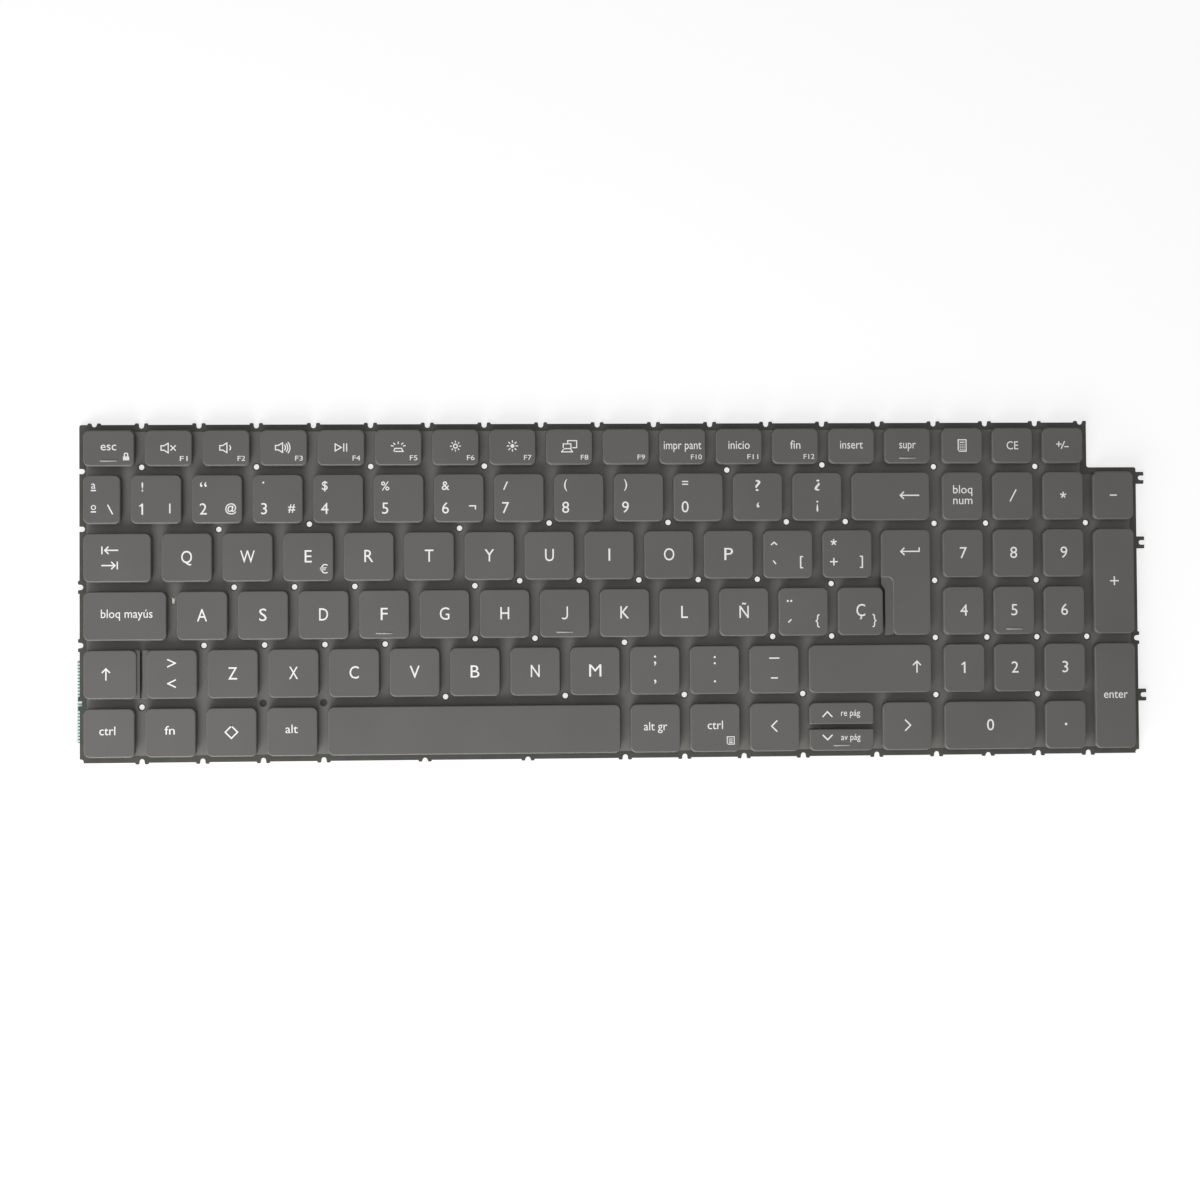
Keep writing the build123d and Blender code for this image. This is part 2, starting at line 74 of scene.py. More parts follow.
def shades(tree, factor, *stops):
    """Colours at their places along a factor."""
    ramp = tree.nodes.new("ShaderNodeValToRGB")
    points = ramp.color_ramp.elements
    while len(points) < len(stops):
        points.new(0.5)
    for point, (at, colour) in zip(points, stops):
        point.position = at
        point.color = (*colour, 1.0)
    tree.links.new(factor, ramp.inputs["Fac"])
    return ramp.outputs["Color"]


def between(tree, factor, low, high):
    """A factor from none to one, spread between two values."""
    spread = tree.nodes.new("ShaderNodeMapRange")
    spread.inputs["To Min"].default_value = low
    spread.inputs["To Max"].default_value = high
    tree.links.new(factor, spread.inputs["Value"])
    return spread.outputs["Result"]


def satin(tree, shader, place, per_metre, low, high):
    """Roughness that wanders between two values."""
    tree.links.new(between(tree, cloud(tree, place, per_metre), low, high), shader.inputs["Roughness"])


def relief(tree, shader, place, per_metre, strength, depth, detail=3.0):
    """Fine bumps on a surface, the depth in metres."""
    bump = tree.nodes.new("ShaderNodeBump")
    bump.inputs["Strength"].default_value = strength
    bump.inputs["Distance"].default_value = depth
    tree.links.new(cloud(tree, place, per_metre, detail), bump.inputs["Height"])
    tree.links.new(bump.outputs["Normal"], shader.inputs["Normal"])


def coat(node, surface):
    """Gives a solid of the frame its finish."""
    frame["nodes"][node].data.materials.clear()
    frame["nodes"][node].data.materials.append(surface)


panel_film, tree, shader, place = finish("reflector_film", 0.35)
guide_dots = tree.nodes.new("ShaderNodeTexVoronoi")
guide_dots.inputs["Scale"].default_value = 620.0
guide_dots.inputs["Randomness"].default_value = 0.15
tree.links.new(place, guide_dots.inputs["Vector"])
dotted = shades(tree, guide_dots.outputs["Distance"], (0.18, (0.78, 0.78, 0.60)), (0.34, (0.88, 0.88, 0.70)))
tree.links.new(dotted, shader.inputs["Base Color"])
satin(tree, shader, place, 60.0, 0.28, 0.46)
relief(tree, shader, place, 900.0, 0.15, 0.00004)
coat("backlight_panel", panel_film)


# Base plate: steel sheet, stamped with holes and edge notches for the palm rest's stakes, painted
# matte black. Ears flank most notches, tabs stand out at the right edge, and two hooks hold a wire.
plate_corner = (-0.1668, -0.0525, 0.0)
plate_width, plate_depth = 332.3, 105.0
step_x, step_y = 316.5, 90.7
plate_bottom, plate_thick = 0.45, 0.40
plate_top = plate_bottom + plate_thick
key_pitch, key_width = 18.70, 15.45
function_pitch, function_width = 17.74, 14.44
pad_pitch, pad_width = 16.0, 12.8
row_pitch = 18.05
hole_radius, notch_radius, notch_mouth = 0.85, 0.80, 2.5
ear_half, ear_out, lug_in, tab_half, tab_out = 0.6, 0.5, 0.6, 1.9, 2.5


def settle(mesh, name, body, *finishes):
    """Turns a mesh drawn in millimetres from the plate's left front corner into a piece in its place."""
    bmesh.ops.scale(mesh, vec=(0.001, 0.001, 0.001), verts=mesh.verts)
    bmesh.ops.translate(mesh, vec=plate_corner, verts=mesh.verts)
    data = bpy.data.meshes.new(name)
    mesh.to_mesh(data)
    mesh.free()
    for surface in finishes:
        data.materials.append(surface)
    piece = bpy.data.objects.new(name, data)
    bpy.context.scene.collection.objects.link(piece)
    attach(piece, body)
    return piece


def stamp(metal, tool, operation):
    """Punches a tool out of a sheet, or welds it on, and gives the new sheet back."""
    blanks = []
    for mesh in (metal, tool):
        data = bpy.data.meshes.new("blank")
        mesh.to_mesh(data)
        mesh.free()
        blanks.append(bpy.data.objects.new("blank", data))
        bpy.context.scene.collection.objects.link(blanks[-1])
    press = blanks[0].modifiers.new("press", "BOOLEAN")
    press.operation = operation
    press.solver = "EXACT"
    press.object = blanks[1]
    result = bmesh.new()
    result.from_object(blanks[0], bpy.context.evaluated_depsgraph_get())
    for blank in blanks:
        bpy.data.objects.remove(blank)
    return result


def outline(inset=0.0):
    """The plate's corners, stepped at the rear right, or the corners of a sheet set in from its edge."""
    right, back = plate_width - inset, plate_depth - inset
    return ((inset, inset), (right, inset), (right, step_y - inset), (step_x - inset, step_y - inset),
            (step_x - inset, back), (inset, back))


def sheet(corners, bottom, thick, corner_radius):
    """A flat sheet from its corners, each turned with a small radius."""
    mesh = bmesh.new()
    mesh.faces.new([mesh.verts.new((x, y, bottom)) for x, y in corners])
    bmesh.ops.bevel(mesh, geom=mesh.verts[:], affect="VERTICES", offset=corner_radius, segments=4,
                    profile=0.5, material=-1)
    raised = bmesh.ops.extrude_face_region(mesh, geom=mesh.faces[:])
    lifted = [part for part in raised["geom"] if isinstance(part, bmesh.types.BMVert)]
    bmesh.ops.translate(mesh, vec=(0, 0, thick), verts=lifted)
    bmesh.ops.recalc_face_normals(mesh, faces=mesh.faces[:])
    return mesh


def block(mesh, low, high, turn=Matrix.Identity(4)):
    """A block between two corners, in millimetres, then turned into place."""
    low, high = Vector(low), Vector(high)
    size = Matrix.Diagonal((*(high - low), 1.0))
    middle = Matrix.Translation((low + high) / 2)
    return bmesh.ops.create_cube(mesh, size=1.0, matrix=turn @ middle @ size)["verts"]


def square_punch(mesh, low, high):
    """A square punch through all sheets."""
    block(mesh, (*low, -1.0), (*high, 3.0))


def punch(mesh, turn, radius, mouth=0.0):
    """A round punch through all sheets. With a mouth it is drawn out that far towards minus Y."""
    made = bmesh.ops.create_cone(mesh, cap_ends=True, segments=24, radius1=radius, radius2=radius, depth=4.0)
    front_half = [vert for vert in made["verts"] if vert.co.y < -0.001]
    bmesh.ops.translate(mesh, vec=(0, -mouth, 0), verts=front_half)
    bmesh.ops.transform(mesh, matrix=turn, verts=made["verts"])


def gaps(left, numbers, pitch, width):
    """Middles of the gaps in a row of keys, counted from the gap before the key at this left edge."""
    return [left - (pitch - width) / 2 + pitch * n for n in numbers]


def letter_gaps(left, *numbers):
    return gaps(left, numbers, key_pitch, key_width)


def at_edge(x, y, degrees):
    """A place at the plate's edge, turned so that plus Y leads inwards."""
    return Matrix.Translation((x, y, 0)) @ Matrix.Rotation(math.radians(degrees), 4, "Z")


# Middles of the gaps between rows, left edges of each row's even keys, and where stakes stand in a gap.
row_gaps = [18.425 + row_pitch * i for i in range(4)] + [90.525]
pad_left = 269.6
pad_gaps = [267.55] + gaps(pad_left, (1, 2, 3), pad_pitch, pad_width)
front_left, after_space, arrow_gap = 20.725, 170.775, 248.55
shift_left, home_left, upper_left, number_left, function_left = 39.875, 30.525, 25.85, 16.5, 20.8
near, level, far = -0.245, 0.555, 1.255
tail_stake = (letter_gaps(front_left, 0)[0], row_gaps[0] - 1.2)
stake_places = [tail_stake] + [(x, y) for y, row in (
    (row_gaps[0] + near, letter_gaps(front_left, 2, 3)),
    (row_gaps[0] + level, pad_gaps[0:3:2]),
    (row_gaps[0] + far, letter_gaps(shift_left, 4, 6, 8, 10)),
    (row_gaps[1] + near, letter_gaps(shift_left, 0, 1, 2, 3, 7)),
    (row_gaps[1] + level, pad_gaps),
    (row_gaps[1] + far, letter_gaps(home_left, 5, 6, 10, 11)),
    (row_gaps[2] + near, letter_gaps(home_left, 1, 2, 3, 5, 11)),
    (row_gaps[2] + level, pad_gaps[0:3:2]),
    (row_gaps[2] + far, letter_gaps(upper_left, 6, 7, 8, 9, 10)),
    (row_gaps[3] + near, letter_gaps(upper_left, 1, 5)),
    (row_gaps[3] + level, pad_gaps[:2] + pad_gaps[3:]),
    (row_gaps[3] + far, letter_gaps(number_left, 3, 7, 9, 11, 12)),
    (row_gaps[4] + near, letter_gaps(number_left, 10)),
    (row_gaps[4] + level, pad_gaps[0:3:2]),
    (row_gaps[4] + far, gaps(function_left, (0, 2, 4, 6, 12), function_pitch, function_width)),
) for x in row]
front_notches = letter_gaps(front_left, 0, 1, 2, 3) + letter_gaps(after_space, 0, 1, 2, 3)
front_notches += [arrow_gap, pad_gaps[0], *pad_gaps[2:]]
rear_notches = gaps(function_left, range(14), function_pitch, function_width) + pad_gaps[:3]
eared_notches = [at_edge(x, 0, 0) for x in front_notches]
eared_notches += [at_edge(x, plate_depth, 180) for x in rear_notches]
eared_notches += [at_edge(0, y, -90) for y in row_gaps[:3]] + [at_edge(plate_width, row_gaps[1], 90)]
shallow_notches = [at_edge(x, 0, 0) for x in (106.58, 138.68, pad_gaps[1])]
shallow_notches += [at_edge(x, plate_depth, 180) for x in (4.6, 314.5)]
plain_notches = [at_edge(0, y, -90) for y in row_gaps[3:]]
tabs = [at_edge(plate_width, y, 90) for y in (row_gaps[0], 66.75, 87.3)]

plate = sheet(outline(), plate_bottom, plate_thick, 0.7)
lugs = bmesh.new()
for edge in eared_notches + shallow_notches:
    for side in (-1.45, 1.45):
        block(lugs, (side - ear_half, -ear_out, plate_bottom), (side + ear_half, lug_in, plate_top), edge)
for edge in tabs:
    block(lugs, (-tab_half, -tab_out, plate_bottom), (tab_half, lug_in, plate_top), edge)
upright = [e for e in lugs.edges if abs(e.verts[0].co.z - e.verts[1].co.z) > plate_thick / 2]
bmesh.ops.bevel(lugs, geom=upright, affect="EDGES", offset=0.32, segments=3, profile=0.5, material=-1)
plate = stamp(plate, lugs, "UNION")

light_slot = ((28.3, 49.0), (29.5, 51.2))
tail_front, tail_back = 6.3, 31.7
hook_lefts, hook_width, hook_back, hook_top = (83.775, 158.975), 1.6, 11.35, 1.92
punches = bmesh.new()
for x, y in stake_places:
    punch(punches, Matrix.Translation((x, y, 0)), hole_radius)
for edges, inward in ((eared_notches, 0.35), (plain_notches, 0.9), (shallow_notches, -0.1)):
    for edge in edges:
        punch(punches, edge @ Matrix.Translation((0, inward, 0)), notch_radius, notch_mouth)
for edge in tabs:
    punch(punches, edge @ Matrix.Translation((0, -1.45, 0)), 0.72, 3.0)
for x, degrees in ((0.35, -45), (plate_width - 0.35, 45)):
    punch(punches, at_edge(x, 0.35, degrees), hole_radius, notch_mouth)
square_punch(punches, (78.5, tail_front - 0.5), (79.5, tail_back + 0.5))
square_punch(punches, *light_slot)
plate = stamp(plate, punches, "DIFFERENCE")
for x in hook_lefts:
    block(plate, (x, hook_back - 0.2, 0.6), (x + hook_width, hook_back, hook_top))
    block(plate, (x, hook_back - 0.85, hook_top - 0.2), (x + hook_width, hook_back - 0.19, hook_top))


def mottle(tree, shader, place, per_metre, dark, light, detail=3.0):
    """A base colour that drifts between two shades."""
    tone = shades(tree, cloud(tree, place, per_metre, detail), (0.3, dark), (0.7, light))
    tree.links.new(tone, shader.inputs["Base Color"])


plate_paint, tree, shader, place = finish("black_paint_on_steel", 0.55)
mottle(tree, shader, place, 240.0, (0.036, 0.035, 0.028), (0.052, 0.051, 0.042))
satin(tree, shader, place, 90.0, 0.45, 0.62)
relief(tree, shader, place, 9000.0, 0.2, 0.00003)
base = settle(plate, "stamped_plate", "frame", plate_paint)
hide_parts("base_plate")


# Ribbon tail: a thin film with silver conductors under the plate, black but for its green end. It comes
# through a slot from the membrane and ends past the left edge in a comb of bare contacts on a strip.
def join(mesh, shape):
    """Adds a finished shape to a mesh."""
    data = bpy.data.meshes.new("shape")
    shape.to_mesh(data)
    shape.free()
    mesh.from_mesh(data)
    bpy.data.meshes.remove(data)


tail_bend, tail_top = 79.2, 0.44
tail = bmesh.new()
block(tail, (-0.2, tail_front, 0.25), (tail_bend, tail_back, tail_top))
block(tail, (tail_bend - 0.2, tail_front, tail_top), (tail_bend, tail_back, plate_top))
window = bmesh.new()
punch(window, Matrix.Translation((*tail_stake, 0)), 1.25)
tail = stamp(tail, window, "DIFFERENCE")
contacts, contact_front, contact_width = 25, 6.55, 0.6
comb = bmesh.new()
for i in range(contacts):
    start = contact_front + i
    block(comb, (-1.2 + 0.024 * i, start, 0.26), (0.6, start + contact_width, 0.45))
for face in comb.faces:
    face.material_index = 1
join(tail, comb)
block(tail, (-0.75, tail_front, 0.27), (-0.1, tail_back, 0.40))

half_pitch, green_end, black_start = 0.0005, -0.1664, -0.1658
tail_film, tree, shader, place = finish("green_film", 0.3)
parts = tree.nodes.new("ShaderNodeSeparateXYZ")
tree.links.new(place, parts.inputs["Vector"])
ripple = tree.nodes.new("ShaderNodeMath")
ripple.operation = "PINGPONG"
ripple.inputs[1].default_value = half_pitch
tree.links.new(parts.outputs["Y"], ripple.inputs[0])
conductor = tree.nodes.new("ShaderNodeMapRange")
conductor.inputs["From Max"].default_value = half_pitch
tree.links.new(ripple.outputs["Value"], conductor.inputs["Value"])
green = shades(tree, conductor.outputs["Result"], (0.42, (0.035, 0.19, 0.145)), (0.52, (0.20, 0.42, 0.36)))
from_end = tree.nodes.new("ShaderNodeMapRange")
from_end.inputs["From Min"].default_value = green_end
from_end.inputs["From Max"].default_value = black_start
tree.links.new(parts.outputs["X"], from_end.inputs["Value"])
mask = tree.nodes.new("ShaderNodeMix")
mask.data_type = "RGBA"
mask.inputs["B"].default_value = (0.02, 0.022, 0.02, 1.0)
tree.links.new(from_end.outputs["Result"], mask.inputs["Factor"])
tree.links.new(green, mask.inputs["A"])
tree.links.new(mask.outputs["Result"], shader.inputs["Base Color"])
satin(tree, shader, place, 300.0, 0.22, 0.4)
bare_contact, tree, shader, place = finish("tinned_contact", 0.42, 0.35)
mottle(tree, shader, place, 2500.0, (0.55, 0.66, 0.62), (0.74, 0.80, 0.76))
satin(tree, shader, place, 4000.0, 0.3, 0.5)
ribbon = settle(tail, "tail_film", "frame", tail_film, bare_contact)
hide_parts("ribbon_tail")


# Switch membrane: three bonded films, the top one black, laid on the plate. Round windows clear the
# stakes, and small slots clear the wire's hooks and the lock light.
film_thick = 0.20
film = sheet(outline(2.2), plate_top, film_thick, 0.9)
windows = bmesh.new()
for x, y in stake_places:
    punch(windows, Matrix.Translation((x, y, 0)), 1.2)
square_punch(windows, *light_slot)
for x in hook_lefts:
    square_punch(windows, (x - 0.3, hook_back - 0.5), (x + hook_width + 0.3, hook_back + 0.3))
film = stamp(film, windows, "DIFFERENCE")

membrane_film, tree, shader, place = finish("black_membrane_film", 0.5)
mottle(tree, shader, place, 45.0, (0.134, 0.132, 0.119), (0.152, 0.150, 0.136))
satin(tree, shader, place, 160.0, 0.42, 0.58)
relief(tree, shader, place, 14000.0, 0.25, 0.00002)
switch_film = settle(film, "switch_film", "frame", membrane_film)
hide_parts("membrane")


# Lock light: a small lens of milky resin, pressed into a slot beside the lock key. A lamp on the board
# below shines through it.
lens, tree, shader, place = finish("milky_lens", 0.25)
mottle(tree, shader, place, 1200.0, (0.78, 0.79, 0.77), (0.88, 0.88, 0.86))
satin(tree, shader, place, 900.0, 0.2, 0.32)
coat("caps_lock_light", lens)


# Springs: under each cap a silicone dome, glued on the film, and two crossed link frames of white
# resin that keep the cap level. The real ones flatten between the cap and the film when a key goes down;
# here they are drawn at rest, each pressed key's springs a piece of its own.
film_top, cap_ceiling = plate_top + film_thick, 3.24
margin, cap_depth, function_depth, arrow_depth = 1.9, 15.0, 11.0, 6.72
front_row, shift_row, home_row, upper_row, number_row = [margin + row_pitch * i for i in range(5)]
function_front, enter_left = 91.95, 250.05
caps = {}


def lay_row(names, left, front, pitch=key_pitch, width=key_width, depth=cap_depth):
    """Sets out the caps of a row: each one's left and front edges, width and depth."""
    for i, name in enumerate(names):
        caps[name] = (left + i * pitch, front, width, depth)


function_row = ["esc"] + [f"f{i}" for i in range(1, 13)] + ["insert", "delete", "reckon", "clear", "sign"]
number_bank = ["ordinal", *"1234567890", "apostrophe", "exclamation", "backspace", "num_lock", "divide",
               "times", "minus", *(f"pad_{n}" for n in (7, 8, 9, 4, 5, 6, 1, 2, 3)), "pad_plus", "pad_enter",
               "pad_0", "pad_point"]
lay_row(["esc"], margin, function_front, width=15.6, depth=function_depth)
lay_row(function_row[1:15], function_left, function_front, function_pitch, function_width, function_depth)
lay_row(function_row[15:], pad_left, function_front, pad_pitch, pad_width, function_depth)
lay_row(["ordinal"], margin, number_row, width=11.35)
lay_row(number_bank[1:13], number_left, number_row)
lay_row(["backspace"], 240.9, number_row, width=24.6)
for names, front in ((number_bank[14:18], number_row), (number_bank[18:21], upper_row),
                     (number_bank[21:24], home_row), (number_bank[24:27], shift_row)):
    lay_row(names, pad_left, front, pad_pitch, pad_width)
lay_row(["pad_plus"], pad_left + 3 * pad_pitch, home_row, width=pad_width, depth=row_pitch + cap_depth)
lay_row(["pad_enter"], pad_left + 3 * pad_pitch, front_row, width=pad_width, depth=row_pitch + cap_depth)
lay_row(["pad_0"], pad_left, front_row, width=pad_pitch + pad_width)
lay_row(["pad_point"], pad_left + 2 * pad_pitch, front_row, width=pad_width)
lay_row(["tab"], margin, upper_row, width=20.7)
lay_row(["caps_lock"], margin, home_row, width=25.375)
lay_row([*"qwertyuiop", "grave", "plus"], upper_left, upper_row)
lay_row([*"asdfghjkl", "n_tilde", "acute"], home_left, home_row)
lay_row(["c_cedilla"], home_left + 11 * key_pitch, home_row, width=14.175)
lay_row(["left_shift"], margin, shift_row, width=16.2)
lay_row(["less_than"], 21.2, shift_row, width=15.425)
lay_row([*"zxcvbnm", "comma", "period", "hyphen"], shift_left, shift_row)
lay_row(["right_shift"], shift_left + 10 * key_pitch, shift_row, width=38.625)
lay_row(["left_ctrl"], margin, front_row, width=15.575)
lay_row(["fn", "system", "alt"], front_left, front_row)
lay_row(["space"], front_left + 3 * key_pitch, front_row, width=90.7)
lay_row(["alt_gr", "right_ctrl", "left_arrow"], after_space, front_row)
lay_row(["right_arrow"], enter_left, front_row)
lay_row(["down_arrow"], after_space + 3 * key_pitch, front_row, width=20.175, depth=arrow_depth)
lay_row(["up_arrow"], after_space + 3 * key_pitch, 10.18, width=20.175, depth=arrow_depth)
lay_row(["enter"], enter_left, upper_row)


def key_middle(name):
    left, front, width, depth = caps[name]
    return left + width / 2, front + depth / 2


def spring(mesh, name):
    """A dome and two crossed link frames, between the film and the cap's ceiling."""
    x, y = key_middle(name)
    share = min(1.0, caps[name][3] / cap_depth)
    profile = [mesh.verts.new((x + radius * share, y, z)) for radius, z in (
        (2.7, film_top), (2.6, 1.3), (1.7, 2.6), (1.5, cap_ceiling), (0.0, cap_ceiling))]
    run = [mesh.edges.new(pair) for pair in zip(profile, profile[1:])]
    bmesh.ops.spin(mesh, geom=profile + run, cent=(x, y, 0), axis=(0, 0, 1), angle=2 * math.pi, steps=12,
                   use_merge=True)
    reach, inner, bar = 5.2 * share, 4.6 * share, 0.6
    tilt = math.atan2(1.55, 10.0 * share)
    for half, lean in ((5.0 * share, tilt), (3.9 * share, -tilt)):
        turn = Matrix.Translation((x, y, 2.15)) @ Matrix.Rotation(lean, 4, "X")
        for low, high in (((-half, -reach, -0.3), (bar - half, reach, 0.3)),
                          ((half - bar, -reach, -0.3), (half, reach, 0.3)),
                          ((-half, -reach, -0.25), (half, -inner, 0.25)),
                          ((-half, inner, -0.25), (half, reach, 0.25))):
            for vert in block(mesh, low, high, turn):
                for face in vert.link_faces:
                    face.material_index = 1


def seat_springs(mesh, label):
    """Closes the seams of the springs and sets them on the film."""
    bmesh.ops.remove_doubles(mesh, verts=mesh.verts[:], dist=0.0001)
    bmesh.ops.recalc_face_normals(mesh, faces=mesh.faces[:])
    piece = settle(mesh, label, "frame", dome_silicone, link_resin)
    return piece


dome_silicone, tree, shader, place = finish("pale_silicone", 0.55)
mottle(tree, shader, place, 700.0, (0.56, 0.57, 0.54), (0.66, 0.67, 0.63))
shader.inputs["Subsurface Weight"].default_value = 0.15
shader.inputs["Subsurface Radius"].default_value = (0.001, 0.001, 0.001)
satin(tree, shader, place, 400.0, 0.45, 0.62)
link_resin, tree, shader, place = finish("white_link_resin", 0.42)
mottle(tree, shader, place, 500.0, (0.62, 0.62, 0.60), (0.72, 0.72, 0.70))
relief(tree, shader, place, 6000.0, 0.1, 0.00003)

joint_names = {joint["name"] for joint in frame["joints"]}
pressed = [name for name in caps if f"{name}_press" in joint_names]
for name in pressed:
    mesh = bmesh.new()
    spring(mesh, name)
    piece = seat_springs(mesh, f"{name}_spring")
    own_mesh(piece)
still_springs = bmesh.new()
for name in function_row + number_bank:
    spring(still_springs, name)
piece = seat_springs(still_springs, "still_springs")
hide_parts("rubber_domes")


# Space bar wire: bright spring wire, bent square so that the long cap stays level. Its feet turn in two
# hooks of the plate, and its long side lies under the cap.
spring_steel, tree, shader, place = finish("bright_wire", 0.25, 1.0)
mottle(tree, shader, place, 1500.0, (0.46, 0.46, 0.45), (0.60, 0.60, 0.59))
satin(tree, shader, place, 3000.0, 0.2, 0.34)
coat("space_stabilizer_wire", spring_steel)


# Keycaps: moulded in grey resin, hollow below, with a flat top, turned corners and a fine spark
# texture. A few carry a raised bar near the front for the finger to find, or a low ledge at a side.
cap_foot, cap_height, cap_wall, wall_lean = 2.45, 1.5, 0.7, math.radians(7.0)
cap_edge, ledge_height, ledge_edge = 0.32, 0.9, 0.15
cap_corner, inner_corner = 1.8, 0.4
half_cap_corners = {"up_arrow": (inner_corner, inner_corner, cap_corner, cap_corner),
                    "down_arrow": (cap_corner, cap_corner, inner_corner, inner_corner)}
side_ledges = {"left_shift": (17.2, 19.05, (0, 0.3, 0.3, 0)), "less_than": (19.8, 22.1, (0.3, 0, 0, 0.3))}
barred_caps = ("f", "j", "down_arrow", "esc", "delete", "pad_5")


def oblong(left, front, right, back):
    return (left, front), (right, front), (right, back), (left, back)


def moulded(mesh, corners, radii, height=cap_height, edge=cap_edge):
    """A hollow cap: a rounded outline, walls that lean out towards the foot, a softened top edge."""
    shell = bmesh.new()
    points = [shell.verts.new((x, y, cap_foot)) for x, y in corners]
    shell.faces.new(points)
    for point, radius in zip(points, radii):
        if radius:
            bmesh.ops.bevel(shell, geom=[point], affect="VERTICES", offset=radius, segments=5, profile=0.5,
                            material=-1)
    bmesh.ops.recalc_face_normals(shell, faces=shell.faces[:])
    if shell.faces[0].normal.z < 0:
        bmesh.ops.reverse_faces(shell, faces=shell.faces[:])
    shell.faces.ensure_lookup_table()
    walls = bmesh.ops.extrude_face_region(shell, geom=[shell.faces[0]])
    lid = [part for part in walls["geom"] if isinstance(part, bmesh.types.BMFace)][0]
    bmesh.ops.translate(shell, vec=(0, 0, height), verts=lid.verts)
    bottom = [f for f in shell.faces if f.normal.z < -0.5 or (f is not lid and abs(f.normal.z) > 0.9)]
    bmesh.ops.delete(shell, geom=bottom, context="FACES_ONLY")
    bmesh.ops.recalc_face_normals(shell, faces=shell.faces[:])
    shell.normal_update()
    lean = math.tan(wall_lean) * height
    for vert in [v for v in shell.verts if v.co.z < cap_foot + 0.01]:
        out = Vector((vert.normal.x, vert.normal.y, 0.0))
        if out.length > 0:
            vert.co += out.normalized() * lean
    bmesh.ops.bevel(shell, geom=lid.edges[:], affect="EDGES", offset=edge, segments=3, profile=0.5,
                    material=-1)
    bmesh.ops.solidify(shell, geom=shell.faces[:], thickness=cap_wall)
    bmesh.ops.recalc_face_normals(shell, faces=shell.faces[:])
    join(mesh, shell)


def finger_bar(mesh, x, y):
    """A low round-topped bar across a cap, its resin painted lighter than the cap's as a highlight."""
    cap_faces = set(mesh.faces)
    verts = block(mesh, (x - 2.6, y - 0.25, 3.8), (x + 2.6, y + 0.25, 4.1))
    top_edges = {edge for vert in verts for edge in vert.link_edges if all(v.co.z > 4 for v in edge.verts)}
    bmesh.ops.bevel(mesh, geom=list(top_edges), affect="EDGES", offset=0.22, segments=4, profile=0.5,
                    material=-1)
    for face in set(mesh.faces) - cap_faces:
        face.material_index = 2


def cap_mesh(name):
    mesh = bmesh.new()
    left, front, width, depth = caps[name]
    right, back = left + width, front + depth
    if name == "enter":
        leg, ledge, ledge_back = 253.6, 251.15, front + 0.95
        moulded(mesh, ((left, front), (leg, front), (leg, home_row), (right, home_row), (right, back),
                       (left, back)), (0, 1.6, cap_corner, cap_corner, cap_corner, cap_corner))
        moulded(mesh, ((left, ledge_back), (left, 53.65), (ledge, 52.15), (ledge, home_row),
                       (leg + 0.4, home_row), (leg + 0.4, ledge_back)), (0, 0, 0, 0.3, 0, 0),
                ledge_height, ledge_edge)
    else:
        moulded(mesh, oblong(left, front, right, back), half_cap_corners.get(name, (cap_corner,) * 4))
    if name in side_ledges:
        start, end, radii = side_ledges[name]
        moulded(mesh, oblong(start, front, end, back), radii, ledge_height, ledge_edge)
    if name in barred_caps:
        finger_bar(mesh, left + width / 2, front + 1.6)
    for face in mesh.faces:
        face.smooth = True
    return mesh


grey_resin, tree, shader, place = finish("grey_cap_resin", 0.5)
mottle(tree, shader, place, 30.0, (0.102, 0.098, 0.093), (0.116, 0.112, 0.106), 5.0)
shader.inputs["Specular IOR Level"].default_value = 0.4
satin(tree, shader, place, 220.0, 0.44, 0.56)
relief(tree, shader, place, 11000.0, 0.22, 0.00002, 2.0)
# The finger bars get a lighter resin than the caps: a painted highlight for the light that catches them.
bar_highlight_resin, tree, shader, place = finish("bar_resin_painted_highlight", 0.4)
mottle(tree, shader, place, 400.0, (0.27, 0.265, 0.26), (0.32, 0.315, 0.31))

# Legends: white ink, printed on each cap's top after moulding and a few hundredths thick. Words,
# figures and plain signs, each set out in millimetres from the middle of its key.
ink_bottom, ink_top, ink_layer = 3.93, 3.962, 0.004
capital_height, small_middle, plain_stem = 0.682, 0.225, 0.085
glyphs = {}


def lettering(text, bolder):
    """The outline of a text as a thin closed mesh, one unit to the em, its strokes grown on each side."""
    if (text, bolder) not in glyphs:
        curve = bpy.data.curves.new("legend", "FONT")
        curve.body, curve.resolution_u, curve.extrude = text, 3, 0.01
        curve.offset = bolder
        stencil = bpy.data.objects.new("legend", curve)
        bpy.context.scene.collection.objects.link(stencil)
        glyphs[text, bolder] = bpy.data.meshes.new_from_object(
            stencil.evaluated_get(bpy.context.evaluated_depsgraph_get()))
        bpy.data.objects.remove(stencil)
    return glyphs[text, bolder]


def ink(mesh, shape, layer=0):
    """Lays a thin shape on the caps' top, in the ink's finish. Strokes that cross have a layer each."""
    bmesh.ops.remove_doubles(shape, verts=shape.verts[:], dist=0.0005)
    for vert in shape.verts:
        vert.co.z = ink_top + ink_layer * layer if vert.co.z > 0 else ink_bottom
    for face in shape.faces:
        face.material_index = 1
    join(mesh, shape)


def stem(text, height):
    """How wide a text's strokes are printed. Signs are bolder for their size, and one is left thin."""
    if text == "€":
        return 0.0
    if text[0].isalnum():
        return min(0.42, 0.125 * height)
    return 0.38


